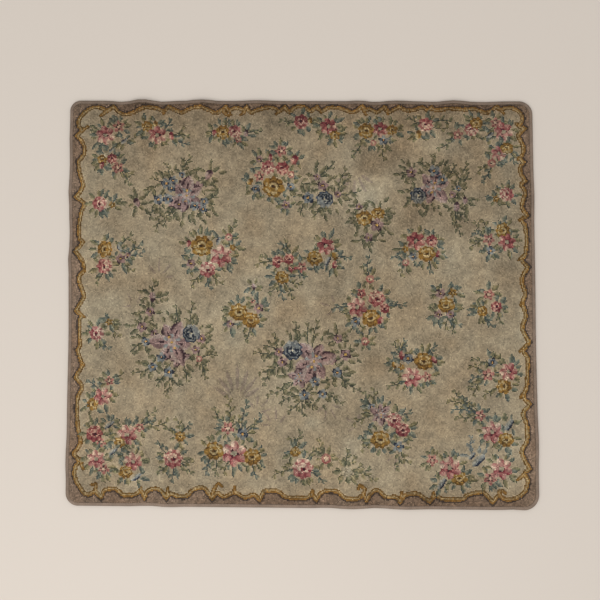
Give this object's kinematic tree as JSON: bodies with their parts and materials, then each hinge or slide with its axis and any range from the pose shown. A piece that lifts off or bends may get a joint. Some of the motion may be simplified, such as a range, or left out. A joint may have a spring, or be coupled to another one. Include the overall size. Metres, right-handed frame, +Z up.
{
  "type": "rug",
  "caption": "Flat rectangular pile rug with rounded corners, scattered woven bouquets inside a scalloped gold line, and a sewn edge binding.",
  "frame": {"origin": "on the floor, under the middle of the rug's bounding box", "axes": "+X along the width, to the right in the picture; +Y along the depth, towards the far edge; +Z up out of the pile"},
  "size_m": [1.8862, 1.6364, 0.0163],
  "materials": {
    "wool_pile": "short cut wool pile with a woven-in pattern, worn matt",
    "binding_tape": "plain woven tape, sewn over the raw edge"
  },
  "bodies": {
    "root": {"carpet": "wool_pile", "binding": "binding_tape"}
  },
  "joints": []
}
